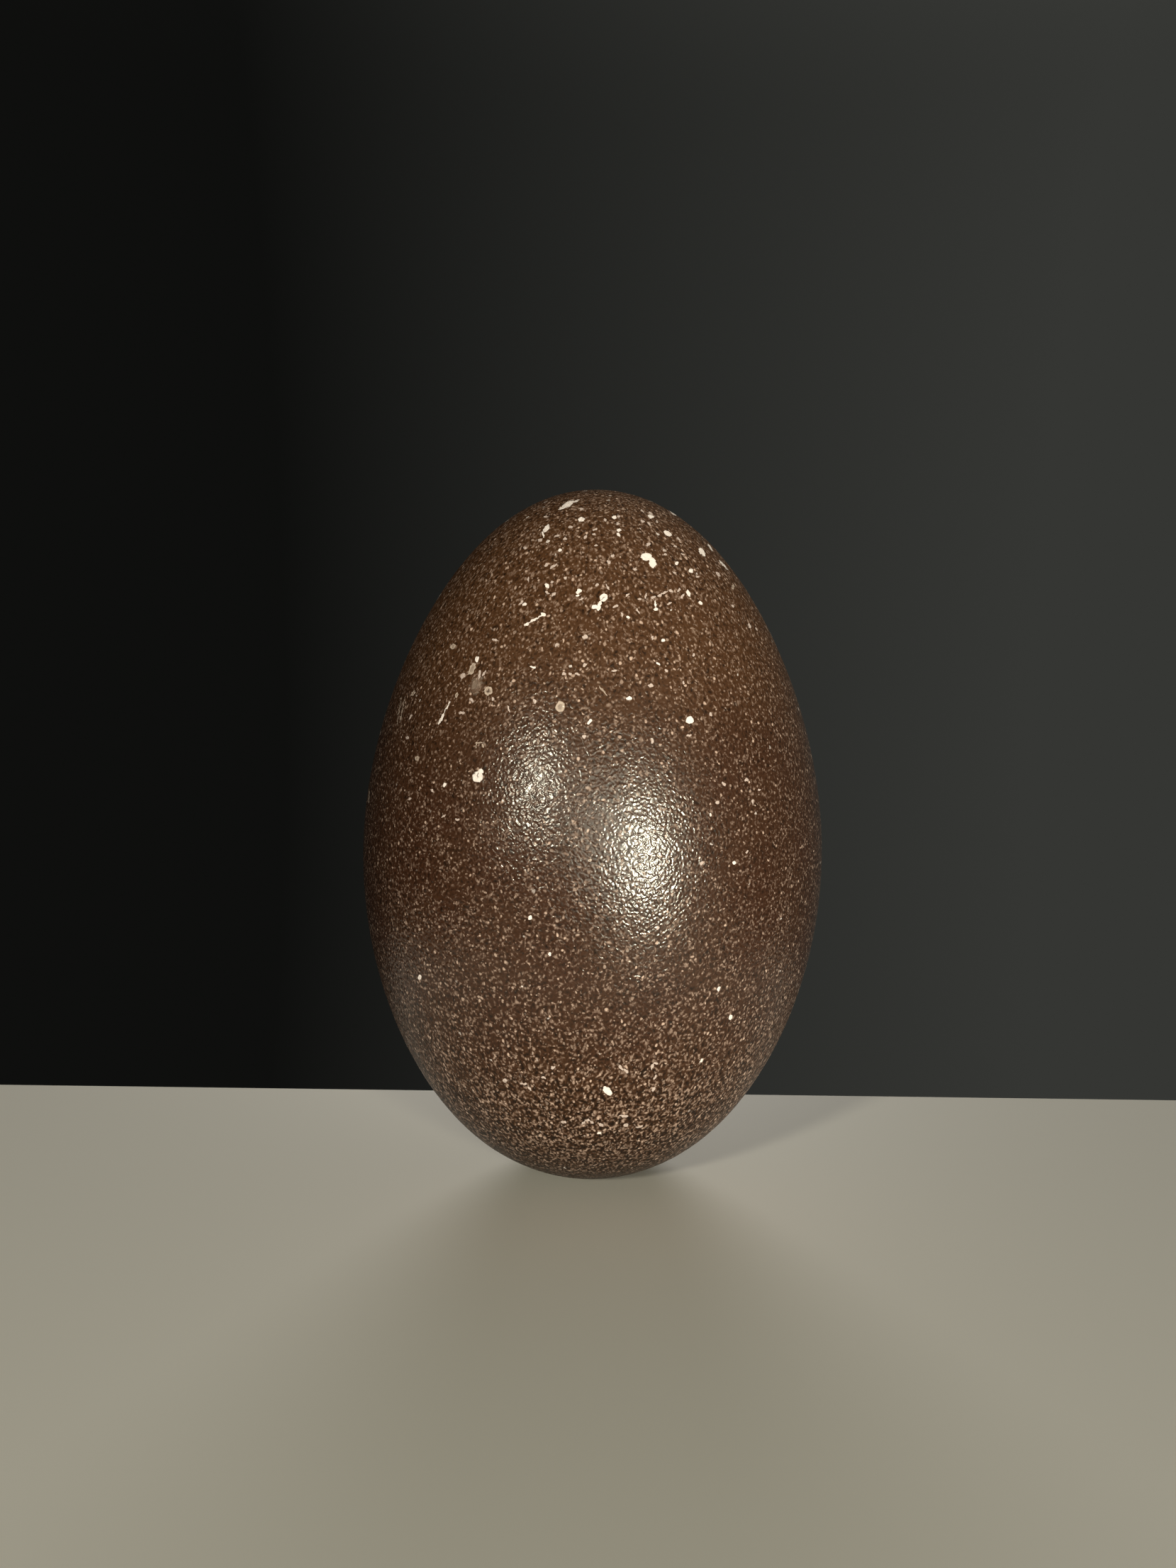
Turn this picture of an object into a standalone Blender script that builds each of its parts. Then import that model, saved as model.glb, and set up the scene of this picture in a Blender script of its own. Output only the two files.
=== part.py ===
"""A blown egg of a large flightless bird, standing on the flat spot at its blunt end.

The egg is one hollow shell of even thickness. The only way in is the hole that it was
blown through, drilled in the middle of the flat spot. Units are metres, +Z is up, and
the origin is the middle of the flat spot.
"""

import math

import bmesh
import bpy
from mathutils import Matrix, Vector

# Driving dimensions of the shell
EGG_LENGTH = 0.1340  # pole to pole, before the blunt pole is flattened
EGG_BREADTH = 0.0893  # across the widest place
BLUNT_SHIFT = 0.0043  # moves the widest place from mid-length towards the blunt end
SHOULDER_TAPER = 0.020  # share by which the shoulders are slimmer than the plain egg curve
SHELL_THICKNESS = 0.0010

# The flat spot that the egg rests on, and the hole in it
FLAT_DEPTH = 0.0014  # height that the flattening takes off the blunt pole
FLAT_RADIUS = 0.0088  # the true plane; the rounding begins outside it
ROUNDING_RADIUS = 0.0112  # where the rounding has run out into the egg's own curve
HOLE_RADIUS = 0.0040

# Facets
SEGMENTS = 60  # round the axis
OUTSIDE_STEPS = 40  # from the rounding up to the narrow pole, outside
ROUNDING_STEPS = 3
INSIDE_SKIP = 2  # the inside keeps every second ring of the outside

SHELL_COLOUR = (0.075, 0.038, 0.022, 1.0)
SHELL_ROUGHNESS = 0.45


def clear_scene():
    for obj in list(bpy.data.objects):
        bpy.data.objects.remove(obj, do_unlink=True)


def egg_point(angle):
    """(radius, height) on the egg's curve; angle 0 is the blunt pole and pi the narrow one."""
    along = -EGG_LENGTH / 2 * math.cos(angle)
    above = EGG_LENGTH**2 - 4 * along**2
    below = EGG_LENGTH**2 + 8 * BLUNT_SHIFT * along + 4 * BLUNT_SHIFT**2
    taper = 1 - SHOULDER_TAPER * math.sin(2 * angle) ** 2
    radius = EGG_BREADTH / 2 * math.sqrt(max(above, 0.0) / below) * taper
    return Vector((radius, along + EGG_LENGTH / 2 - FLAT_DEPTH))


def egg_tangent(angle):
    """Direction of the curve, towards the narrow pole."""
    step = 1e-4
    return (egg_point(angle + step) - egg_point(angle - step)).normalized()


def angle_at_radius(radius):
    """Where the curve, leaving the blunt pole, has come out to this radius."""
    low, high = 0.0, math.pi / 2
    for _ in range(50):
        middle = (low + high) / 2
        if egg_point(middle).x < radius:
            low = middle
        else:
            high = middle
    return low


def rounding(start, end, direction):
    """Points from start, on the plane, to end, where the curve runs in that direction."""
    corner = Vector((end.x - direction.x * end.y / direction.y, 0.0))
    points = []
    for i in range(1, ROUNDING_STEPS):
        t = i / ROUNDING_STEPS
        points.append(start * (1 - t) ** 2 + corner * (2 * t * (1 - t)) + end * t**2)
    return points


def outside_profile():
    """(radius, height) points up the outside, from the edge of the flat spot to the narrow pole."""
    first = angle_at_radius(ROUNDING_RADIUS)
    angles = [first + (math.pi - first) * i / OUTSIDE_STEPS for i in range(OUTSIDE_STEPS)]
    curve = [egg_point(angle) for angle in angles]
    edge = Vector((FLAT_RADIUS, 0.0))
    top = Vector((0.0, EGG_LENGTH - FLAT_DEPTH))
    return [edge] + rounding(edge, curve[0], egg_tangent(first)) + curve + [top]


def inside_profile(outside):
    """The outside's points, one shell thickness further in."""
    points = []
    for i, point in enumerate(outside):
        along = outside[min(i + 1, len(outside) - 1)] - outside[max(i - 1, 0)]
        inward = Vector((-along.y, along.x)).normalized()
        points.append(point + inward * SHELL_THICKNESS)
    points[0] = Vector((outside[0].x, SHELL_THICKNESS))
    points[-1] = Vector((0.0, outside[-1].y - SHELL_THICKNESS))
    return points[:-1:INSIDE_SKIP] + points[-1:]


def shell_profile():
    """The whole section: down the outside, across the flat spot, up the hole, up the inside."""
    outside = outside_profile()
    inside = inside_profile(outside)
    hole = [Vector((HOLE_RADIUS, 0.0)), Vector((HOLE_RADIUS, SHELL_THICKNESS))]
    return outside[::-1] + hole + inside


def turned_mesh(name, profile):
    """Turns a section, which starts and ends on the axis, round +Z into a closed mesh."""
    shape = bmesh.new()
    verts = [shape.verts.new((point.x, 0.0, point.y)) for point in profile]
    edges = [shape.edges.new(pair) for pair in zip(verts, verts[1:])]
    bmesh.ops.spin(
        shape,
        geom=verts + edges,
        axis=(0, 0, 1),
        cent=(0, 0, 0),
        angle=2 * math.pi,
        steps=SEGMENTS,
        use_merge=True,
    )
    bmesh.ops.remove_doubles(shape, verts=shape.verts, dist=1e-6)
    bmesh.ops.recalc_face_normals(shape, faces=shape.faces)
    mesh = bpy.data.meshes.new(name)
    shape.to_mesh(mesh)
    shape.free()
    mesh.shade_smooth()
    mesh.set_sharp_from_angle(angle=math.radians(35))
    return mesh


def shell_material():
    material = bpy.data.materials.new("speckled_shell")
    material.use_nodes = True
    surface = material.node_tree.nodes["Principled BSDF"]
    surface.inputs["Base Color"].default_value = SHELL_COLOUR
    surface.inputs["Roughness"].default_value = SHELL_ROUGHNESS
    surface.inputs["Metallic"].default_value = 0.0
    return material


def build_eggshell():
    mesh = turned_mesh("eggshell", shell_profile())
    mesh.materials.append(shell_material())
    shell = bpy.data.objects.new("eggshell", mesh)
    shell.matrix_world = Matrix.Identity(4)
    bpy.context.scene.collection.objects.link(shell)
    return shell


clear_scene()
build_eggshell()
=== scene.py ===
import math

import bpy
from mathutils import Matrix, Vector, noise


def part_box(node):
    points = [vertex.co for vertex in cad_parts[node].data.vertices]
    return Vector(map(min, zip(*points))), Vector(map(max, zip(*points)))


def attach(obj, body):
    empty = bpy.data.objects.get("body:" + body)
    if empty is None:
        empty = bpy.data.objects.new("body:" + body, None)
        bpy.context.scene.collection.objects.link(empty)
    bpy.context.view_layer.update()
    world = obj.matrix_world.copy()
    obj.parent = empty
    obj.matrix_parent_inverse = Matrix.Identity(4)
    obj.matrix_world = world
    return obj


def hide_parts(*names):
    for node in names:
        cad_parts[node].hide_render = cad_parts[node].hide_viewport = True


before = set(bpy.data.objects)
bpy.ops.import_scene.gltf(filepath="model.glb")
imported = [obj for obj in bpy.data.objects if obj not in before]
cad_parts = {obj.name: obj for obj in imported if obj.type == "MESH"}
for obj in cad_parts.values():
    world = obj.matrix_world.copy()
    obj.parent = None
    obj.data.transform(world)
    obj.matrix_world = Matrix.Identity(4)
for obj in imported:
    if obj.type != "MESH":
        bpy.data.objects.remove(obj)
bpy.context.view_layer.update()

MM = 0.001

# The egg's own curve, as in the solid that the scene's shell stands for
SHELL_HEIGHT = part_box("eggshell")[1].z
FLAT_DEPTH = 1.4 * MM
EGG_LENGTH = SHELL_HEIGHT + FLAT_DEPTH
EGG_BREADTH = 89.3 * MM
BLUNT_SHIFT = 4.3 * MM
SHOULDER_TAPER = 0.020
SHELL_THICKNESS = 1.0 * MM
FLAT_RADIUS = 8.8 * MM
ROUNDING_RADIUS = 11.2 * MM
HOLE_RADIUS = 4.0 * MM

# How finely the shell is meshed
FINE_EDGE = 0.66 * MM
COARSE_EDGE = 2.6 * MM
ROW_SHARE = 0.87  # the spacing of the outside's rings, as a share of an edge
LEAST_SIDES = 8  # of the small rings near the axis
POINT_RADIUS = 1e-6  # a ring no larger than this is one point on the axis
ROUNDING_POINTS = 40
CURVE_POINTS = 2000
HALVINGS = 50  # of the span in which a place on the curve is looked for
SHARP_ANGLE = math.radians(40)

# The gentle unevenness of its outside, and the hole that a drill left
WAVE_LENGTH = 7.0 * MM
WAVE_DEPTH = 0.05 * MM
PEBBLE_LENGTH = 1.5 * MM
PEBBLE_DEPTH = 0.035 * MM
PEBBLE_SHIFT = Vector((7.3, 1.9, 4.1))  # keeps the pebbles' noise clear of the waves'
INSET = 0.02 * MM  # keeps the relief inside the solid
SETTLE_HEIGHT = 2.0 * MM  # below it the relief dies out towards the flat spot
HOLE_RAGGEDNESS = 0.25 * MM
CHIP_LENGTHS = ((1.7 * MM, 0.6), (0.6 * MM, 0.4))  # each with its share of the raggedness

# The photograph's frame and the camera that took it
PHOTO_WIDTH = 1659
PHOTO_HEIGHT = 2212
FOCAL_PIXELS = 1661
SENSOR = 36.0
CAMERA_DISTANCE = 232.6 * MM
CAMERA_HEIGHT = 83.5 * MM
CAMERA_SIDE = -1.04 * MM
CAMERA_PITCH = math.radians(2.0)
CAMERA_ROLL = math.radians(0.76)

# Where the lamps are mirrored in the shell, in pixels of the photograph
MAIN_HIGHLIGHT = (912, 1206)
SECOND_HIGHLIGHT = (757, 1108)
VEIL_MIDDLE = (855, 1165)

# Each lamp's highlight, distance from the shell, width and height in metres, watts and colour
MIRRORED_LAMPS = {
    "main_lamp": (MAIN_HIGHLIGHT, 0.7, (0.04, 0.21), 5.6, (0.99, 0.96, 0.75)),
    "second_lamp": (SECOND_HIGHLIGHT, 0.8, (0.06, 0.1), 2.6, (0.99, 0.95, 0.75)),
    "soft_lamp": (VEIL_MIDDLE, 0.75, (0.4, 0.42), 1.05, (0.97, 0.94, 0.76)),
}
BACK_LAMP_PLACE = Vector((0.0, 0.5, 0.11))
BACK_LAMP_TARGET = Vector((0.0, 0.0, 0.07))
BACK_LAMP_SIZE = (0.22, 0.18)
BACK_LAMP_POWER = 1.6
BACK_LAMP_COLOUR = (1.0, 0.97, 0.9)

# The surround's strength, from level with the egg to overhead, and its share from left to right
SURROUND_RISE = {"start": 0.45, "end": 1.0, "low": 0.032, "high": 0.15}
SURROUND_SIDE = {"start": -0.25, "end": 0.35, "low": 0.15, "high": 1.15, "shape": "LINEAR"}
SURROUND_COLOUR = (0.97, 1.0, 0.90, 1.0)

# The floor, and how far it reaches before and behind the egg
FLOOR_WIDTH = 0.32
FLOOR_FRONT = 0.125
FLOOR_BACK = 0.046
FLOOR_COLOUR = (0.72, 0.69, 0.65, 1.0)
FLOOR_ROUGHNESS = 0.8


def egg_point(angle):
    """(radius, height) on the egg's curve; angle 0 is the blunt pole and pi the narrow one."""
    along = -EGG_LENGTH / 2 * math.cos(angle)
    above = EGG_LENGTH**2 - 4 * along**2
    below = EGG_LENGTH**2 + 8 * BLUNT_SHIFT * along + 4 * BLUNT_SHIFT**2
    taper = 1 - SHOULDER_TAPER * math.sin(2 * angle) ** 2
    radius = EGG_BREADTH / 2 * math.sqrt(max(above, 0.0) / below) * taper
    return Vector((radius, along + EGG_LENGTH / 2 - FLAT_DEPTH))


def egg_tangent(angle):
    """Direction of the curve, towards the narrow pole."""
    step = 1e-4
    return (egg_point(angle + step) - egg_point(angle - step)).normalized()


def angle_where(falls_short, highest):
    """The angle, from the blunt pole on, at which the curve's points no longer fall short."""
    low, high = 0.0, highest
    for _ in range(HALVINGS):
        middle = (low + high) / 2
        if falls_short(egg_point(middle)):
            low = middle
        else:
            high = middle
    return low


def outside_curve():
    """Closely spaced (radius, height) points from the edge of the flat spot to the narrow pole."""
    first = angle_where(lambda point: point.x < ROUNDING_RADIUS, math.pi / 2)
    start = Vector((FLAT_RADIUS, 0.0))
    end = egg_point(first)
    direction = egg_tangent(first)
    corner = Vector((end.x - direction.x * end.y / direction.y, 0.0))
    points = []
    for i in range(ROUNDING_POINTS):
        t = i / ROUNDING_POINTS
        points.append(start * (1 - t) ** 2 + corner * (2 * t * (1 - t)) + end * t**2)
    for i in range(CURVE_POINTS + 1):
        points.append(egg_point(first + (math.pi - first) * i / CURVE_POINTS))
    return points


def evenly(points, spacing):
    """The same line with points about one spacing apart, first and last kept."""
    lengths = [0.0]
    for a, b in zip(points, points[1:]):
        lengths.append(lengths[-1] + (b - a).length)
    steps = max(1, round(lengths[-1] / spacing))
    even = []
    k = 0
    for i in range(steps + 1):
        wanted = lengths[-1] * i / steps
        while k < len(points) - 2 and lengths[k + 1] < wanted:
            k += 1
        t = (wanted - lengths[k]) / (lengths[k + 1] - lengths[k])
        even.append(points[k].lerp(points[k + 1], min(t, 1.0)))
    return even


def inner_curve(outer):
    """The same line, one shell thickness further in, from the hole to the narrow pole."""
    points = [Vector((HOLE_RADIUS, SHELL_THICKNESS)), Vector((FLAT_RADIUS, SHELL_THICKNESS))]
    for before, here, after in zip(outer, outer[1:], outer[2:]):
        along = after - before
        inward = Vector((-along.y, along.x)).normalized()
        point = here + inward * SHELL_THICKNESS
        # Over the rounding, points that would turn back towards the hole are left out
        if point.x > points[-1].x or point.y > SHELL_THICKNESS * 2:
            points.append(point)
    points.append(Vector((0.0, outer[-1].y - SHELL_THICKNESS)))
    return points


def shell_profile():
    """(point, edge length, part) down the inside, down the hole, over the flat spot and up outside."""
    outer = outside_curve()
    hole_bottom = Vector((HOLE_RADIUS, 0.0))
    hole_top = Vector((HOLE_RADIUS, SHELL_THICKNESS))
    inside = evenly(inner_curve(outer), COARSE_EDGE)
    wall = evenly([hole_top, hole_bottom], FINE_EDGE / 2)
    flat = evenly([hole_bottom, Vector((FLAT_RADIUS, 0.0))], FINE_EDGE)
    outside = evenly(outer, FINE_EDGE * ROW_SHARE)
    profile = [(point, COARSE_EDGE, "inside") for point in reversed(inside[1:])]
    profile += [(point, FINE_EDGE, "wall") for point in wall[:-1]]
    profile += [(point, FINE_EDGE, "flat") for point in flat[:-1]]
    profile += [(point, FINE_EDGE, "outside") for point in outside]
    return profile


def uneven(point, normal):
    """A point of the outside with the slow waves and low pebbles, all under the smooth egg."""
    waves = noise.noise(point / WAVE_LENGTH)
    pebbles = noise.noise(point / PEBBLE_LENGTH + PEBBLE_SHIFT)
    depth = WAVE_DEPTH * (0.5 - 0.5 * waves) + PEBBLE_DEPTH * (0.5 - 0.5 * pebbles)
    settle = min(1.0, point.z / SETTLE_HEIGHT)
    return point - normal * (INSET + depth * settle)


def ragged(point):
    """A point of the hole's wall, pushed in or out where the drill left it uneven."""
    outward = Vector((point.x, point.y, 0.0)).normalized()
    push = sum(noise.noise(point / length) * share for length, share in CHIP_LENGTHS)
    return point + outward * HOLE_RAGGEDNESS * push


def ring_points(profile, k):
    """The points of one ring round the axis, with the unevenness of the part that it lies on."""
    point, edge, part = profile[k]
    before, _, part_before = profile[max(k - 1, 0)]
    after = profile[min(k + 1, len(profile) - 1)][0]
    along = (after - before).normalized()
    around = 2 * math.pi * point.x
    count = 1 if point.x < POINT_RADIUS else max(LEAST_SIDES, round(around / edge))
    # Every second ring is turned by half a step, so that the triangles are even
    half_step = 0.5 * (k % 2)
    points = []
    for i in range(count):
        turn = 2 * math.pi * (i + half_step) / count
        spot = Vector((point.x * math.cos(turn), point.x * math.sin(turn), point.y))
        if part == "outside":
            facing = Vector((along.y * math.cos(turn), along.y * math.sin(turn), -along.x))
            spot = uneven(spot, facing)
        elif "wall" in (part, part_before):
            spot = ragged(spot)
        points.append(spot)
    return points


def stitch(lower, upper):
    """Triangles between two rings of vertex numbers, whatever their counts."""
    faces = []
    i = 1 if len(lower) == 1 else 0
    j = 1 if len(upper) == 1 else 0
    while i < len(lower) or j < len(upper):
        take_lower = j >= len(upper)
        if i < len(lower) and j < len(upper):
            take_lower = (i + 1) * len(upper) <= (j + 1) * len(lower)
        here = lower[i % len(lower)]
        there = upper[j % len(upper)]
        if take_lower:
            faces.append((here, lower[(i + 1) % len(lower)], there))
            i += 1
        else:
            faces.append((here, upper[(j + 1) % len(upper)], there))
            j += 1
    return faces


def build_shell():
    """The fine shell, with the second material's slot for the inside and the hole's wall."""
    profile = shell_profile()
    verts = []
    rings = []
    for k in range(len(profile)):
        points = ring_points(profile, k)
        rings.append(range(len(verts), len(verts) + len(points)))
        verts += points
    faces = []
    slots = []
    for (_, _, part), lower, upper in zip(profile, rings, rings[1:]):
        band = stitch(lower, upper)
        faces += band
        slots += [1 if part in ("inside", "wall") else 0] * len(band)
    mesh = bpy.data.meshes.new("eggshell_fine")
    mesh.from_pydata(verts, [], faces)
    mesh.polygons.foreach_set("material_index", slots)
    mesh.shade_smooth()
    mesh.set_sharp_from_angle(angle=SHARP_ANGLE)
    shell = bpy.data.objects.new("eggshell_fine", mesh)
    bpy.context.scene.collection.objects.link(shell)
    return shell


# A Mix node's factor and two colours, and its mixed colour, among its sockets
MIX_COLOUR_INPUTS = (0, 6, 7)
MIX_COLOUR_OUTPUT = 2

# How unlike each other the dots of one kind are
DOT_SIZE_LEAST = 0.65
DOT_SIZE_SPREAD = 0.5
DOT_STRENGTH_LEAST = 0.3
DOT_FADING = 1.6  # the higher, the fewer strong ones
DOT_CHOICE_STEP = 0.06


class Nodes:
    """Adds nodes to the tree of a material or a world, and wires them as they are made."""

    def __init__(self, owner, shader):
        owner.use_nodes = True
        self.tree = owner.node_tree
        self.shader = self.tree.nodes[shader]

    def put(self, socket, value):
        if isinstance(value, bpy.types.NodeSocket):
            self.tree.links.new(value, socket)
        else:
            socket.default_value = value

    def give(self, name, value):
        """Sets or links an input of the shader that the tree ends in."""
        self.put(self.shader.inputs[name], value)

    def add(self, kind, inputs=None, **settings):
        node = self.tree.nodes.new(kind)
        for name, value in settings.items():
            setattr(node, name, value)
        for name, value in (inputs or {}).items():
            self.put(node.inputs[name], value)
        return node

    def math(self, operation, *values, clamp=False):
        inputs = dict(enumerate(values))
        return self.add("ShaderNodeMath", inputs, operation=operation, use_clamp=clamp).outputs[0]

    def line(self, value, slope, start):
        """A number that changes in a straight line with another."""
        return self.math("MULTIPLY_ADD", value, slope, start)

    def vector(self, operation, *values):
        return self.add("ShaderNodeVectorMath", dict(enumerate(values)), operation=operation).outputs[0]

    def dot(self, vector, other):
        node = self.add("ShaderNodeVectorMath", {0: vector, 1: other}, operation="DOT_PRODUCT")
        return node.outputs["Value"]

    def scaled(self, vector, factor):
        node = self.add("ShaderNodeVectorMath", {0: vector, "Scale": factor}, operation="SCALE")
        return node.outputs[0]

    def ramp(self, value, start, end, low=0.0, high=1.0, shape="SMOOTHSTEP"):
        """Goes from low to high while the value goes from start to end, and stays level beyond."""
        inputs = {"Value": value, "From Min": start, "From Max": end, "To Min": low, "To Max": high}
        return self.add("ShaderNodeMapRange", inputs, interpolation_type=shape).outputs["Result"]

    def curve(self, value, stops):
        """A number that runs through (position, number) stops."""
        node = self.add("ShaderNodeFloatCurve", {"Value": value})
        points = node.mapping.curves[0].points
        while len(points) < len(stops):
            points.new(0.5, 0.5)
        for point, stop in zip(points, stops):
            point.location = stop
        node.mapping.update()
        return node.outputs["Value"]

    def noise(self, vector, scale, detail=0.0, roughness=0.5, output="Fac"):
        inputs = {"Vector": vector, "Scale": scale, "Detail": detail, "Roughness": roughness}
        return self.add("ShaderNodeTexNoise", inputs).outputs[output]

    def wobbled(self, place, scale, reach):
        """The same place, pushed about by a noise."""
        push = self.vector("SUBTRACT", self.noise(place, scale, output="Color"), (0.5, 0.5, 0.5))
        return self.vector("ADD", place, self.scaled(push, reach))

    def mix(self, factor, under, over):
        """One colour where the factor is 0, and the other over it where the factor is 1."""
        node = self.add("ShaderNodeMix", data_type="RGBA")
        for socket, value in zip(MIX_COLOUR_INPUTS, (factor, under, over)):
            self.put(node.inputs[socket], value)
        return node.outputs[MIX_COLOUR_OUTPUT]

    def speckles(self, place, scale, radius, softness, share):
        """Soft round dots, radius in cells, of which this share of the cells has one."""
        cells = self.add("ShaderNodeTexVoronoi", {"Vector": place, "Scale": scale})
        chance = self.add("ShaderNodeSeparateColor", {0: cells.outputs["Color"]}).outputs
        size = self.math("MULTIPLY", self.line(chance[2], DOT_SIZE_SPREAD, DOT_SIZE_LEAST), radius)
        dot = self.ramp(self.math("SUBTRACT", size, cells.outputs["Distance"]), 0.0, softness)
        chosen = self.ramp(self.math("SUBTRACT", share, chance[0]), 0.0, DOT_CHOICE_STEP)
        fading = self.math("POWER", chance[1], DOT_FADING)
        strength = self.line(fading, 1 - DOT_STRENGTH_LEAST, DOT_STRENGTH_LEAST)
        return self.math("MULTIPLY", self.math("MULTIPLY", dot, chosen), strength)

    def millimetres(self):
        place = self.add("ShaderNodeTexCoord").outputs["Object"]
        return self.scaled(place, 1 / MM)


# Colours of the shell, linear
DEEP_BROWN = (0.010, 0.0040, 0.0016, 1.0)
WARM_BROWN = (0.0455, 0.0184, 0.0090, 1.0)
GOLDEN_BROWN = (0.081, 0.0350, 0.0150, 1.0)
RED_BROWN = (0.0420, 0.0144, 0.0067, 1.0)
FLECK_TAN = (0.63, 0.445, 0.37, 1.0)
MARK_CREAM = (0.92, 0.805, 0.79, 1.0)
MIDDLE_CREAM = (0.56, 0.44, 0.41, 1.0)
DULL_CREAM = (0.52, 0.405, 0.345, 1.0)
INNER_CREAM = (0.62, 0.58, 0.48, 1.0)
INNER_STAIN = (0.45, 0.40, 0.30, 1.0)

# How far flecks, network, gloss and golden ground take over at each share of the height, and how much of
# the colour is left under the painted shade near the base
CROWDING = [(0.0, 0.6), (0.15, 0.8), (0.34, 0.42), (0.55, 0.26), (0.75, 0.5), (1.0, 0.95)]
NETTING = [(0.0, 0.3), (0.07, 0.75), (0.13, 0.7), (0.24, 0.35), (0.4, 0.15), (0.85, 0.15), (1.0, 0.3)]
PAINTED_BASE_SHADE = [(0.0, 0.25), (0.03, 0.48), (0.08, 0.8), (0.15, 1.0), (1.0, 1.0)]
GLOSS = [(0.0, 0.02), (0.15, 0.05), (0.28, 0.5), (0.38, 1.0), (0.6, 1.0), (0.82, 0.2), (1.0, 0.1)]
GOLDEN = [(0.0, 0.9), (0.15, 0.6), (0.35, 0.1), (0.55, 0.15), (0.75, 0.8), (1.0, 1.0)]

# From here on, scales are in features to a millimetre, and places and reaches in millimetres

# Granules, and how their noise is turned off the egg's axis and drawn out towards its ends
GRAIN = {"scale": 1.85, "detail": 1.0, "roughness": 0.35}
GRAIN_TURN = (0.9, 0.45, 0.6)
DRAWN_OUT = 48.0  # the smaller, the more
WARP = {"scale": 1.1, "reach": 0.55}
KINK = {"scale": 1.7, "reach": 0.6}
NOISE_SPAN = {"start": 0.3, "end": 0.7}  # what nearly all of a noise's values lie between

# The ground: redder patches, and how full the pits between the granules look, their dark partly the
# shell's own colour and partly painted shade
TINT = {"scale": 0.08, "detail": 1.0}
RED_PATCHES = {"start": 0.4, "end": 0.62, "low": 0.2, "high": 0.6}
PIT_FILLING = 0.21
PIT_NETTING = -0.27
PIT_EDGE = {"start": 0.3, "end": 0.72}

# The flecks: clusters of them, dots and small dots with a share of the cells, and the network
CLUSTERS = {"scale": 0.25}
CLUSTER_STRENGTH = 0.07
DOTS = {"scale": 1.15, "radius": 0.36, "softness": 0.22}
DOT_SHARE = {"slope": 0.75, "start": 0.12}
SMALL_DOTS = {"scale": 1.7, "radius": 0.44, "softness": 0.3}
SMALL_DOT_SHARE = {"slope": 0.75, "start": 0.2}
SMALL_DOT_STRENGTH = 0.7
NETWORK_LEVEL = {"slope": -0.055, "start": 0.585}
NETWORK_STRENGTH = {"slope": 2.2, "start": 1.75}
GAPS = {"scale": 0.8}
GAP_EDGE = {"start": 0.3, "end": 0.65, "low": 0.5}

# Lone dots, and how many more there are where y leaves the side that the photograph shows
LONE_DOTS = {"scale": 0.34, "softness": 0.035}
LONE_DOT_RADIUS = {"slope": 0.1, "start": 0.105}
LONE_DOT_SHARE = 0.5
UNSEEN = {"start": -16.0, "end": -6.0}
UNSEEN_EXTRA = {"start": 0.2, "end": 0.9, "high": 0.2}

# The tops of the granules that the egg stands on
RUBBED_HEIGHT = {"start": 0.5, "end": 0.0}
RUBBED_TOPS = {"start": 0.4, "end": 0.65, "high": 0.4}

# Relief and gloss
RELIEF = {"scale": 2.1}
RELIEF_RISE = {"slope": 0.9, "start": 0.55}
RELIEF_DEPTH = 0.16 * MM
FINE_GRAIN = {"scale": 5.0}
ROUGHNESS = {"low": 0.48, "high": 0.4}
COAT_ROUGHNESS = 0.19
SPECULAR_LEVEL = 0.2

# The inside
STAINS = {"scale": 0.25, "detail": 3.0}
STAIN_EDGE = {"start": 0.35, "end": 0.7}
INNER_GRAIN = {"scale": 3.0, "detail": 1.0}
INNER_GRAIN_DEPTH = 0.05 * MM
INNER_ROUGHNESS = {"low": 0.7, "high": 0.85}

# Where each kind of mark begins and is full, in squares of the distance to its middle
BRIGHT_EDGE = {"start": 1.25, "end": 0.85}
MIDDLE_EDGE = {"start": 1.3, "end": 0.75}
DULL_EDGE = {"start": 1.25, "end": 0.8}
DULL_RIM = {"start": 0.12, "end": 0.56, "low": 0.55}
SLIT_EDGE = {"start": 1.6, "end": 0.4, "high": 0.75}
WORN_EDGE = {"start": 2.7, "end": 1.2, "high": 0.36}
WORN_STREAKS = 3.0
FAR_FROM_MARKS = 100.0
SHAKE = {"scale": 2.1, "reach": 0.35}  # what makes the marks' edges uneven

# The far side lies behind the same pixels, so from this y on it is moved out of the picture
FAR_SIDE = {"start": -2.0, "end": 2.0, "high": 9000.0}

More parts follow.
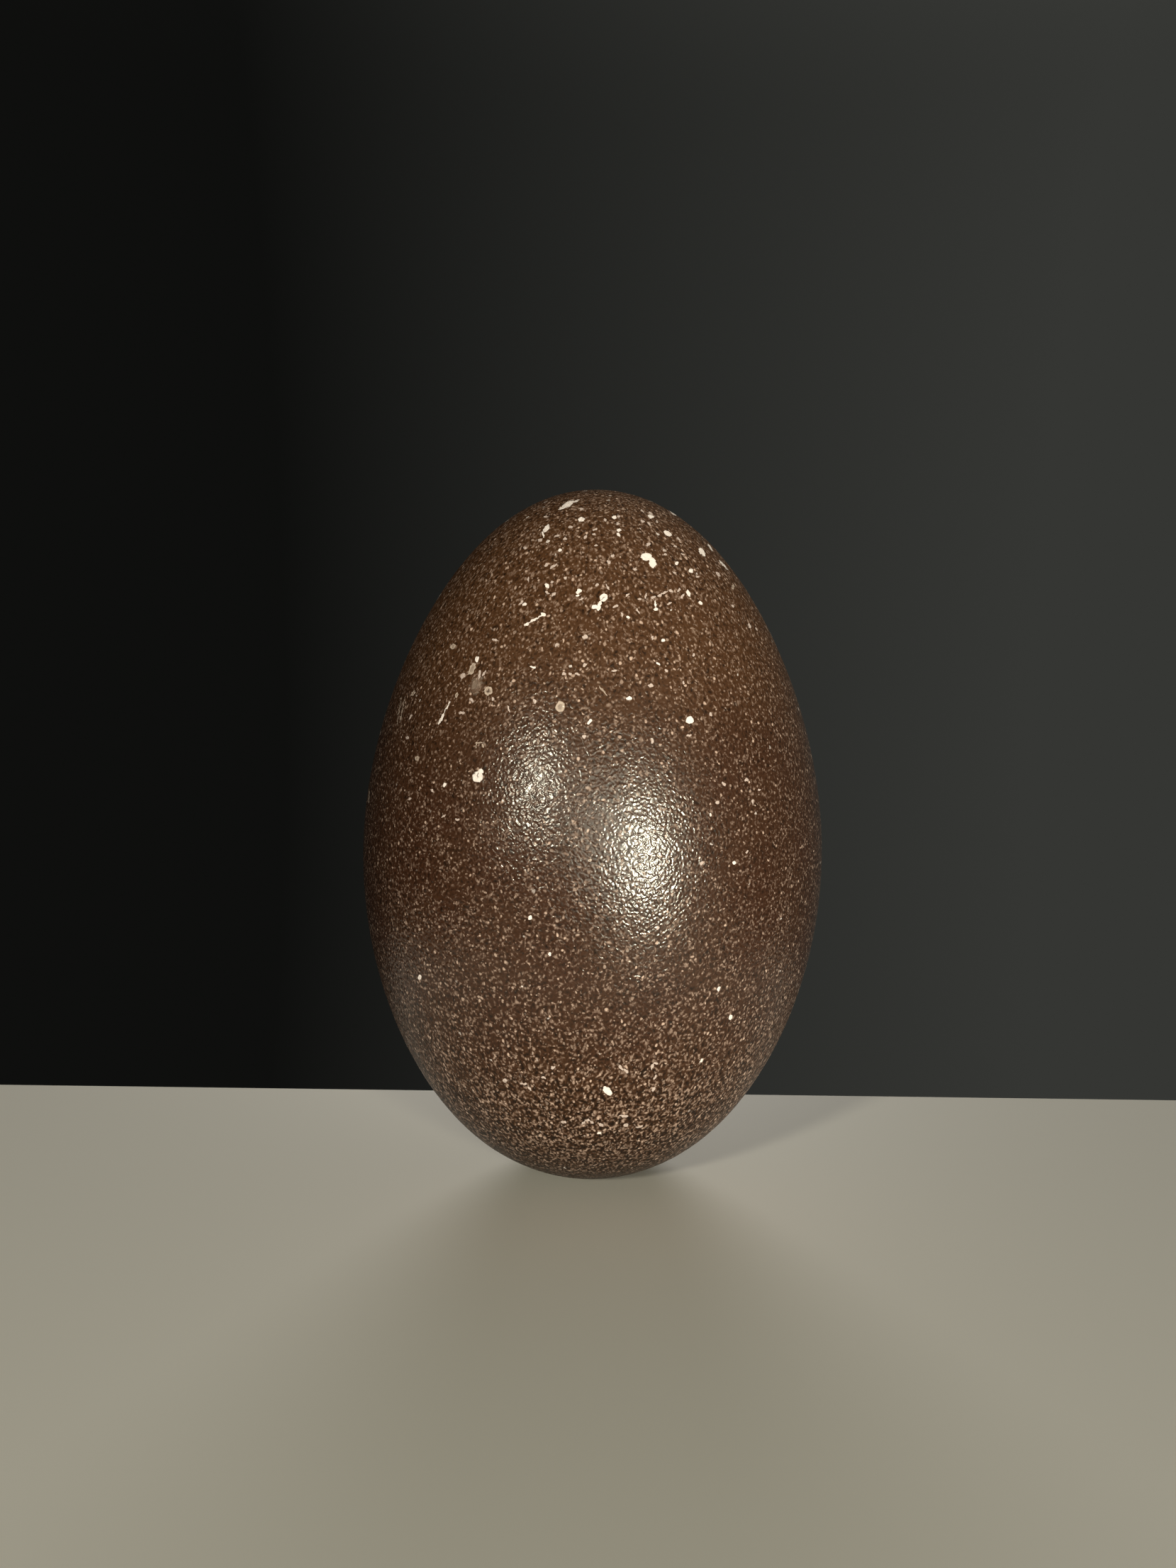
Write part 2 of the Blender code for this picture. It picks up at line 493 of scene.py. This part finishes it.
# Marks as the photograph shows them: pixel, length and width in millimetres, lean in degrees
BRIGHT_MARKS = [
    # The two-lobed splash and the long splashes at the top
    ((912, 785), 1.9, 1.25, 0),
    ((920.5, 793.5), 1.75, 1.15, -80),
    ((801, 711.5), 2.5, 0.85, 28),
    ((793, 716.5), 1.4, 0.4, 20),
    ((812, 707.5), 1.4, 0.3, 25),
    ((820, 733), 1.15, 0.75, 0),
    ((770.5, 745.5), 1.6, 0.75, 55),
    ((766, 754), 1.1, 0.35, -75),
    ((942, 752.5), 1.5, 0.7, -30),
    ((990.5, 779), 1.75, 0.75, -55),
    ((949.5, 724), 1.5, 0.33, -37),
    ((1002, 772.5), 1.55, 0.33, -55),
    ((1021, 797.5), 2.4, 0.3, -47),
    # Dots round them
    ((975, 805), 0.72, 0.68, 0),
    ((954.5, 794.5), 0.6, 0.5, 0),
    ((866.5, 730), 0.7, 0.6, 0),
    ((873, 748), 0.75, 0.6, 0),
    ((872.5, 754.5), 0.75, 0.45, -50),
    ((918, 728.5), 1.1, 0.6, -15),
    ((790, 776), 0.65, 0.5, 35),
    # The stretch with the dumbbell and the needle
    ((771.5, 826), 0.95, 0.6, -50),
    ((816.5, 834), 1.0, 0.7, 30),
    ((815, 840), 0.6, 0.4, 0),
    ((851.5, 843), 1.35, 1.15, 45),
    ((846, 851.5), 1.1, 0.5, 55),
    ((838.5, 856), 0.95, 0.75, 0),
    ((844.5, 857), 1.0, 0.6, 70),
    ((755, 873.5), 3.0, 0.28, 29),
    ((766.5, 867), 0.9, 0.6, -15),
    ((743, 880.5), 0.85, 0.5, 25),
    ((740, 852.5), 0.65, 0.55, -20),
    ((971.5, 837), 1.3, 0.5, -65),
    ((988.5, 850.5), 0.75, 0.45, -35),
    ((925.5, 859.5), 0.8, 0.55, 0),
    ((924.5, 852), 1.2, 0.25, -85),
    ((886, 870.5), 0.6, 0.45, -35),
    # Lone spots further down
    ((973, 1016), 1.25, 1.2, 0),
    ((887.5, 985), 0.85, 0.65, -5),
    ((832, 1018), 1.0, 0.55, 50),
    ((935.5, 903.5), 0.6, 0.5, 0),
    ((928.5, 936.5), 0.75, 0.45, -35),
    ((752, 941), 0.9, 0.4, -20),
    ((673, 930), 0.9, 0.6, 80),
    ((674, 1095.5), 1.8, 1.6, 80),
    ((677.5, 1088.5), 1.0, 0.9, 40),
    ((630, 999), 2.6, 0.2, 62),
    ((622.5, 1014), 2.1, 0.45, 64),
    ((627, 1107.5), 0.85, 0.5, 60),
    ((857, 1539), 1.8, 1.0, -40),
    ((845.5, 1598), 0.7, 0.45, 5),
    ((592, 1379), 0.9, 0.5, 80),
    ((748, 1294), 0.7, 0.65, 0),
    ((775, 1346), 0.6, 0.55, 0),
    ((1014, 1395), 0.9, 0.5, 70),
    ((1031, 1435), 0.8, 0.55, 75),
    ((1036, 1217), 0.55, 0.5, 0),
]
MIDDLE_MARKS = [
    # Dashes and hooks near the top
    ((906, 721), 0.8, 0.3, -45),
    ((906.5, 735.5), 0.8, 0.45, -20),
    ((915.5, 738.5), 0.8, 0.4, -50),
    ((927, 736), 0.7, 0.35, -45),
    ((820, 718), 0.8, 0.4, -15),
    ((839, 747), 0.9, 0.3, 20),
    ((825.5, 757.5), 0.7, 0.5, 30),
    ((864, 784), 0.65, 0.45, 15),
    ((841, 769.5), 0.7, 0.35, 5),
    ((741, 773), 0.6, 0.45, 0),
    ((771, 797), 0.6, 0.5, 60),
    ((781, 799), 1.4, 0.35, 30),
    ((797.5, 815.5), 0.6, 0.45, -70),
    ((937, 776), 0.8, 0.35, -40),
    ((939, 782), 0.6, 0.4, 20),
    ((957, 760), 0.9, 0.3, -40),
    ((963, 782), 0.7, 0.35, -20),
    ((1013, 810), 1.0, 0.4, -45),
    ((842, 825), 0.7, 0.45, 50),
    ((781, 838.5), 0.8, 0.45, 35),
    ((772, 836), 0.9, 0.3, -40),
    # The jagged line and what lies round it
    ((922, 842.5), 0.8, 0.45, 20),
    ((930.5, 840), 0.7, 0.4, 15),
    ((937, 836.5), 1.3, 0.35, 25),
    ((946.5, 833.5), 0.8, 0.45, -25),
    ((902.5, 845), 0.6, 0.4, -20),
    ((877.5, 867), 0.9, 0.35, -80),
    ((944, 851.5), 0.9, 0.35, 25),
    ((963, 841), 0.9, 0.35, 55),
    ((958, 832.5), 0.7, 0.4, 60),
    ((1034, 855), 0.6, 0.35, -40),
    # Smaller flecks of the narrow end
    ((762, 762), 0.8, 0.5, 20),
    ((770.5, 729), 0.8, 0.4, 0),
    ((805, 743.5), 0.8, 0.4, 10),
    ((786, 756), 0.9, 0.35, 10),
    ((797, 760), 0.6, 0.45, 0),
    ((853.5, 733.5), 0.6, 0.45, -30),
    ((872.5, 728), 0.6, 0.4, -70),
    ((871.5, 739), 0.55, 0.4, 0),
    ((838, 754), 0.6, 0.45, 0),
    ((914.5, 768), 0.75, 0.45, 40),
    ((918, 724), 0.9, 0.35, -35),
    ((859, 793), 0.8, 0.45, -30),
    ((896, 803.5), 0.6, 0.45, -40),
    ((952.5, 770.5), 0.6, 0.35, -30),
    ((951.5, 808), 0.6, 0.35, -20),
    ((984, 814), 0.8, 0.3, 0),
    ((745.5, 817), 0.8, 0.3, 85),
    ((779, 821), 0.55, 0.4, 0),
    ((820, 845), 0.7, 0.35, 30),
    ((868, 855.5), 0.9, 0.35, 25),
    ((900, 862), 1.1, 0.3, -60),
    ((911, 840.5), 0.9, 0.3, 75),
    ((885, 839.5), 0.8, 0.35, 40),
    ((857, 828), 1.2, 0.22, -60),
    ((735, 850), 0.9, 0.3, 50),
    ((1057.5, 883), 0.9, 0.35, -60),
    ((1067, 887), 0.7, 0.25, -55),
    # Dots and worms above the highlights
    ((785, 910), 0.8, 0.45, 35),
    ((796, 950.5), 0.7, 0.5, 0),
    ((804.5, 951), 0.55, 0.45, -40),
    ((814.5, 951), 0.9, 0.35, -5),
    ((825, 938), 0.65, 0.5, 30),
    ((825.5, 898.5), 0.9, 0.7, 30),
    ((867, 946), 0.9, 0.35, 5),
    ((920.5, 900), 0.75, 0.45, 85),
    ((940, 946), 0.65, 0.4, -55),
    ((918, 967), 0.8, 0.5, 0),
    ((964.5, 963), 0.6, 0.4, -75),
    ((978.5, 923.5), 0.6, 0.4, 70),
    ((754, 989.5), 0.8, 0.45, -70),
    ((824.5, 1039), 0.6, 0.55, 0),
    ((1003, 1008), 0.7, 0.45, -50),
    ((920, 1045), 0.9, 0.4, -75),
    ((972, 1037.5), 0.9, 0.35, 5),
    # The worn stretch on the left
    ((676.5, 952), 1.6, 0.4, 80),
    ((682.5, 950), 1.0, 0.35, 60),
    ((653, 953.5), 1.0, 0.6, 60),
    ((695.5, 986), 0.6, 0.45, -60),
    ((665.5, 988), 0.9, 0.5, -60),
    ((651.5, 1005.5), 1.0, 0.45, 0),
    ((698, 902.5), 1.1, 0.35, -15),
    ((717.5, 1000), 1.1, 0.3, -75),
    ((610, 1115.5), 0.65, 0.4, -50),
    ((579, 1012), 1.2, 0.35, 60),
    ((575, 1041), 0.6, 0.5, 0),
    ((578, 1127), 0.6, 0.45, 0),
    ((645, 1156.5), 0.6, 0.45, 0),
    ((626, 1151), 0.8, 0.3, 40),
    # Dots down the right side
    ((1071, 1114), 0.5, 0.35, 0),
    ((1053, 1100), 0.75, 0.6, 0),
    ((1021, 1106), 0.75, 0.45, -45),
    ((1012, 1132), 0.6, 0.5, 0),
    ((1062, 1131), 0.8, 0.3, 88),
    ((1054, 1202), 0.7, 0.35, 60),
    ((990, 1218), 0.8, 0.65, 30),
    ((928, 1309), 0.5, 0.45, 0),
    # The long arc on the blunt end
    ((823, 1584), 0.8, 0.4, 50),
    ((829, 1580.5), 0.9, 0.4, 5),
    ((835, 1583), 0.7, 0.4, -45),
    # Dots and squiggles round it
    ((795, 1583), 0.85, 0.5, -10),
    ((848, 1587), 0.9, 0.4, -25),
    ((880, 1574.5), 1.5, 0.4, -3),
    ((883, 1587), 0.8, 0.6, 0),
    ((902, 1589.5), 1.2, 0.3, 10),
    ((876, 1506.5), 1.0, 0.4, -50),
    ((883, 1510.5), 0.9, 0.45, -30),
    ((920, 1505), 1.1, 0.35, 75),
    ((925, 1500), 0.9, 0.35, 0),
    ((924, 1520), 0.9, 0.35, 60),
    ((739, 1529), 1.2, 0.35, 0),
    ((747, 1536), 1.0, 0.35, -50),
    ((712.5, 1524.5), 0.7, 0.65, 0),
    ((766.5, 1520), 0.7, 0.45, -30),
    ((922, 1537), 0.8, 0.5, 60),
    ((780, 1506), 0.8, 0.45, 15),
]
DULL_MARKS = [
    ((639, 912), 1.0, 0.8, 70),
    ((666, 943.5), 2.1, 0.95, 65),
    ((689, 974.5), 1.5, 1.3, 80),
    ((790, 997), 1.65, 1.4, 70),
    ((851, 974.5), 2.0, 0.2, -50),
    ((676, 1047.5), 1.1, 0.25, 10),
    ((671.5, 1052), 0.8, 0.25, 80),
    ((681, 1052), 0.7, 0.25, -70),
    ((563, 1004), 5.2, 0.16, 81),
    ((567.5, 1001), 4.6, 0.16, 79),
    ((520.5, 1124), 2.6, 0.2, 88),
    ((583, 978), 1.1, 0.5, 65),
    ((588.5, 1070), 0.8, 0.7, 20),
    ((644, 980.5), 0.9, 0.45, 75),
    ((1034, 828), 0.9, 0.5, 80),
    ((832, 1214), 0.6, 0.5, 0),
]
DARK_SLITS = [
    ((674, 1093), 1.0, 0.25, 85),
    ((851, 844), 0.9, 0.22, 45),
    ((689, 974.5), 0.9, 0.25, 60),
]
WORN_PATCH = [((672, 966), 3.4, 2.2, 70)]


def build_camera():
    data = bpy.data.cameras.new("camera")
    data.sensor_width = SENSOR
    data.lens = FOCAL_PIXELS * SENSOR / PHOTO_HEIGHT
    data.clip_start = 10 * MM
    view = bpy.data.objects.new("camera", data)
    turn = Matrix.Rotation(math.pi / 2 - CAMERA_PITCH, 4, "X") @ Matrix.Rotation(CAMERA_ROLL, 4, "Z")
    place = Matrix.Translation((CAMERA_SIDE, -CAMERA_DISTANCE, CAMERA_HEIGHT))
    view.matrix_world = place @ turn
    bpy.context.scene.collection.objects.link(view)
    bpy.context.scene.camera = view
    return view


def smooth_normal(point):
    """The egg curve's outward normal beside a point of the shell."""
    along = egg_tangent(angle_where(lambda spot: spot.y < point.z, math.pi))
    outward = Vector((point.x, point.y, 0.0)).normalized()
    return (outward * along.y - Vector((0.0, 0.0, along.x))).normalized()


def seen_at(view, shell, pixel):
    """The point of the shell that the photograph shows at this pixel, and the line of sight."""
    x = (pixel[0] - PHOTO_WIDTH / 2) / FOCAL_PIXELS
    y = (PHOTO_HEIGHT / 2 - pixel[1]) / FOCAL_PIXELS
    eye = view.matrix_world.translation
    ray = (view.matrix_world.to_3x3() @ Vector((x, y, -1.0))).normalized()
    _, point, _, _ = shell.ray_cast(eye, ray)
    return point, ray


def seen_place(nodes, view, place, depth):
    """The photograph's pixel, as (x, y, 1), at which the camera sees a place of the front."""
    turn = view.matrix_world.to_3x3()
    offset = nodes.vector("SUBTRACT", place, view.matrix_world.translation / MM)
    away = nodes.dot(offset, -turn.col[2])
    x = nodes.math("DIVIDE", nodes.dot(offset, turn.col[0]), away)
    y = nodes.math("DIVIDE", nodes.dot(offset, turn.col[1]), away)
    x = nodes.line(x, FOCAL_PIXELS, PHOTO_WIDTH / 2)
    y = nodes.line(y, -FOCAL_PIXELS, PHOTO_HEIGHT / 2)
    x = nodes.math("ADD", x, nodes.ramp(depth, **FAR_SIDE))
    return nodes.add("ShaderNodeCombineXYZ", {0: x, 1: y, 2: 1.0}).outputs[0]


def mark_distance(nodes, view, shell, seen, table):
    """The square of the least distance to any mark, where 1 is a mark's own edge."""
    least = FAR_FROM_MARKS
    for pixel, length, width, lean in table:
        point, _ = seen_at(view, shell, pixel)
        depth = -(view.matrix_world.inverted() @ point).z
        half_length = length / 2 * MM * FOCAL_PIXELS / depth
        half_width = width / 2 * MM * FOCAL_PIXELS / depth
        along = Vector((math.cos(math.radians(lean)), -math.sin(math.radians(lean)), 0.0))
        across = Vector((-along.y, along.x, 0.0))
        middle = Vector((pixel[0], pixel[1], 0.0))
        # With 1 as the place's third number, this makes the products 0 at the mark's middle
        along.z = -along.dot(middle)
        across.z = -across.dot(middle)
        a = nodes.dot(seen, along / half_length)
        b = nodes.dot(seen, across / half_width)
        square = nodes.math("MULTIPLY_ADD", a, a, nodes.math("MULTIPLY", b, b))
        least = nodes.math("MINIMUM", least, square)
    return least


class Pattern:
    """What the shell's ground, flecks, marks and relief have in common."""

    def __init__(self, nodes):
        self.place = nodes.millimetres()
        self.parts = nodes.add("ShaderNodeSeparateXYZ", {0: self.place}).outputs
        self.height = nodes.math("DIVIDE", self.parts[2], SHELL_HEIGHT / MM)
        self.turned = self.drawn_out(nodes)
        self.warped = nodes.wobbled(self.turned, **WARP)
        self.crooked = nodes.wobbled(self.turned, **KINK)
        self.grain = nodes.noise(self.warped, **GRAIN)
        clusters = nodes.noise(self.place, **CLUSTERS)
        clusters = nodes.ramp(clusters, **NOISE_SPAN, low=-CLUSTER_STRENGTH, high=CLUSTER_STRENGTH)
        self.crowding = nodes.math("ADD", nodes.curve(self.height, CROWDING), clusters)
        self.netting = nodes.math("ADD", nodes.curve(self.height, NETTING), clusters)

    def drawn_out(self, nodes):
        """The place, turned, and squeezed so that towards both ends the granules grow longer."""
        middle = SHELL_HEIGHT / MM / 2
        along = nodes.line(self.parts[2], 1 / DRAWN_OUT, -middle / DRAWN_OUT)
        along = nodes.math("MULTIPLY", nodes.math("SINE", along), DRAWN_OUT)
        inputs = {0: self.parts[0], 1: self.parts[1], 2: along}
        drawn = nodes.add("ShaderNodeCombineXYZ", inputs).outputs[0]
        return nodes.add("ShaderNodeMapping", {"Vector": drawn, "Rotation": GRAIN_TURN}).outputs[0]


def ground_colour(nodes, pattern):
    """Brown, golden towards both ends and redder here and there between, and darkest in the pits, where
    the dark is partly the shell's own colour and partly painted shade.
    """
    gold = nodes.curve(pattern.height, GOLDEN)
    tint = nodes.ramp(nodes.noise(pattern.place, **TINT), **RED_PATCHES)
    red = nodes.math("MULTIPLY", tint, nodes.math("SUBTRACT", 1.0, gold))
    ground = nodes.mix(gold, WARM_BROWN, GOLDEN_BROWN)
    ground = nodes.mix(red, ground, RED_BROWN)
    # The pits between the granules go deep brown, partly the shell's own colour and partly painted shade
    filled = nodes.line(pattern.netting, PIT_NETTING, nodes.math("ADD", pattern.grain, PIT_FILLING))
    return nodes.mix(nodes.ramp(filled, **PIT_EDGE), DEEP_BROWN, ground)


def flecks(nodes, pattern):
    """How strongly the flecks show: round dots, small dots and a network on the granules' tops."""
    dots = nodes.speckles(pattern.warped, **DOTS, share=nodes.line(pattern.crowding, **DOT_SHARE))
    share = nodes.line(pattern.crowding, **SMALL_DOT_SHARE)
    small = nodes.speckles(pattern.crooked, **SMALL_DOTS, share=share)
    small = nodes.math("MULTIPLY", small, SMALL_DOT_STRENGTH)
    above = nodes.math("SUBTRACT", pattern.grain, nodes.line(pattern.netting, **NETWORK_LEVEL))
    strength = nodes.line(pattern.netting, **NETWORK_STRENGTH)
    network = nodes.math("MULTIPLY", above, strength, clamp=True)
    gaps = nodes.ramp(nodes.noise(pattern.turned, **GAPS), **GAP_EDGE)
    network = nodes.math("MULTIPLY", network, gaps)
    return nodes.math("MAXIMUM", nodes.math("MAXIMUM", dots, small), network)


def lone_dots(nodes, pattern):
    """Lone bright dots, larger and more of them on the sides that the photograph doesn't show."""
    unseen = nodes.ramp(pattern.parts[1], **UNSEEN)
    extra = nodes.math("MULTIPLY", unseen, nodes.ramp(pattern.height, **UNSEEN_EXTRA))
    share = nodes.line(pattern.crowding, LONE_DOT_SHARE, extra)
    radius = nodes.line(unseen, **LONE_DOT_RADIUS)
    return nodes.speckles(pattern.crooked, **LONE_DOTS, radius=radius, share=share)


def marked(nodes, view, shell, pattern, colour):
    """The colour with the marks of the photographed side over it."""
    shaken = nodes.wobbled(pattern.place, **SHAKE)
    seen = seen_place(nodes, view, shaken, pattern.parts[1])
    worn = mark_distance(nodes, view, shell, seen, WORN_PATCH)
    worn = nodes.ramp(nodes.line(pattern.grain, WORN_STREAKS, worn), **WORN_EDGE)
    colour = nodes.mix(worn, colour, DULL_CREAM)
    dull = mark_distance(nodes, view, shell, seen, DULL_MARKS)
    rim = nodes.ramp(dull, **DULL_RIM)
    colour = nodes.mix(nodes.math("MULTIPLY", nodes.ramp(dull, **DULL_EDGE), rim), colour, DULL_CREAM)
    middle = mark_distance(nodes, view, shell, seen, MIDDLE_MARKS)
    colour = nodes.mix(nodes.ramp(middle, **MIDDLE_EDGE), colour, MIDDLE_CREAM)
    bright = mark_distance(nodes, view, shell, seen, BRIGHT_MARKS)
    colour = nodes.mix(nodes.ramp(bright, **BRIGHT_EDGE), colour, MARK_CREAM)
    slit = mark_distance(nodes, view, shell, seen, DARK_SLITS)
    return nodes.mix(nodes.ramp(slit, **SLIT_EDGE), colour, WARM_BROWN)


def shell_material(view, shell):
    material = bpy.data.materials.new("speckled shell")
    nodes = Nodes(material, "Principled BSDF")
    pattern = Pattern(nodes)
    colour = nodes.mix(flecks(nodes, pattern), ground_colour(nodes, pattern), FLECK_TAN)
    colour = nodes.mix(lone_dots(nodes, pattern), colour, MARK_CREAM)
    # Painted shade: below 0.15 of the height the colour darkens into deep brown, most at the base
    colour = nodes.mix(nodes.curve(pattern.height, PAINTED_BASE_SHADE), DEEP_BROWN, colour)
    # The tops of the granules are rubbed paler where the egg stands on them
    tops = nodes.ramp(pattern.grain, **RUBBED_TOPS)
    rubbed = nodes.math("MULTIPLY", nodes.ramp(pattern.parts[2], **RUBBED_HEIGHT), tops)
    colour = nodes.mix(rubbed, colour, DULL_CREAM)
    nodes.give("Base Color", marked(nodes, view, shell, pattern, colour))
    # Pebbled relief and a satin gloss
    granules = nodes.noise(pattern.warped, **RELIEF)
    rise = nodes.math("MULTIPLY", granules, nodes.line(pattern.netting, **RELIEF_RISE))
    normal = nodes.add("ShaderNodeBump", {"Height": rise, "Distance": RELIEF_DEPTH}).outputs["Normal"]
    nodes.give("Normal", normal)
    nodes.give("Coat Normal", normal)
    fine = nodes.noise(pattern.place, **FINE_GRAIN)
    nodes.give("Roughness", nodes.ramp(fine, **NOISE_SPAN, **ROUGHNESS))
    nodes.give("Coat Weight", nodes.curve(pattern.height, GLOSS))
    nodes.give("Coat Roughness", COAT_ROUGHNESS)
    nodes.give("Specular IOR Level", SPECULAR_LEVEL)
    return material


def inner_material():
    material = bpy.data.materials.new("pale inner shell")
    nodes = Nodes(material, "Principled BSDF")
    place = nodes.millimetres()
    stain = nodes.ramp(nodes.noise(place, **STAINS), **STAIN_EDGE)
    nodes.give("Base Color", nodes.mix(stain, INNER_CREAM, INNER_STAIN))
    fine = nodes.noise(place, **INNER_GRAIN)
    nodes.give("Roughness", nodes.ramp(fine, **NOISE_SPAN, **INNER_ROUGHNESS))
    bump = nodes.add("ShaderNodeBump", {"Height": fine, "Distance": INNER_GRAIN_DEPTH})
    nodes.give("Normal", bump.outputs["Normal"])
    return material


def lamp(name, place, target, size, power, colour):
    data = bpy.data.lights.new(name, "AREA")
    data.shape = "ELLIPSE"
    data.size = size[0]
    data.size_y = size[1]
    data.energy = power
    data.color = colour
    light = bpy.data.objects.new(name, data)
    turn = (target - place).to_track_quat("-Z", "Y").to_matrix().to_4x4()
    light.matrix_world = Matrix.Translation(place) @ turn
    light.visible_camera = False
    bpy.context.scene.collection.objects.link(light)


def mirrored_lamp(name, view, shell, pixel, distance, size, power, colour):
    """A lamp placed so that the camera sees it mirrored in the shell at this pixel."""
    point, ray = seen_at(view, shell, pixel)
    away = ray.reflect(smooth_normal(point))
    lamp(name, point + away * distance, point, size, power, colour)


def build_lamps(view, shell):
    for name, (pixel, distance, size, power, colour) in MIRRORED_LAMPS.items():
        mirrored_lamp(name, view, shell, pixel, distance, size, power, colour)
    # Behind the egg, where it lights nothing of the egg that the photograph's camera sees
    lamp("back_lamp", BACK_LAMP_PLACE, BACK_LAMP_TARGET, BACK_LAMP_SIZE, BACK_LAMP_POWER, BACK_LAMP_COLOUR)


def build_world():
    """A dim surround, stronger overhead and to the right."""
    world = bpy.data.worlds.new("world")
    nodes = Nodes(world, "Background")
    direction = nodes.add("ShaderNodeTexCoord").outputs["Generated"]
    parts = nodes.add("ShaderNodeSeparateXYZ", {0: direction}).outputs
    rise = nodes.ramp(parts[2], **SURROUND_RISE)
    side = nodes.ramp(parts[0], **SURROUND_SIDE)
    nodes.give("Strength", nodes.math("MULTIPLY", rise, side))
    nodes.give("Color", SURROUND_COLOUR)
    bpy.context.scene.world = world


def build_floor():
    material = bpy.data.materials.new("pale floor")
    nodes = Nodes(material, "Principled BSDF")
    nodes.give("Base Color", FLOOR_COLOUR)
    nodes.give("Roughness", FLOOR_ROUGHNESS)
    bpy.ops.mesh.primitive_plane_add(size=1.0)
    floor = bpy.context.object
    floor.name = "floor"
    floor.scale = (FLOOR_WIDTH, FLOOR_FRONT + FLOOR_BACK, 1.0)
    floor.location = (0.0, (FLOOR_BACK - FLOOR_FRONT) / 2, 0.0)
    floor.data.materials.append(material)


shell = build_shell()
view = build_camera()
bpy.context.view_layer.update()
shell.data.materials.append(shell_material(view, shell))
shell.data.materials.append(inner_material())
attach(shell, "root")
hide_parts("eggshell")
build_lamps(view, shell)
build_world()
build_floor()
bpy.context.scene.view_settings.view_transform = "Standard"
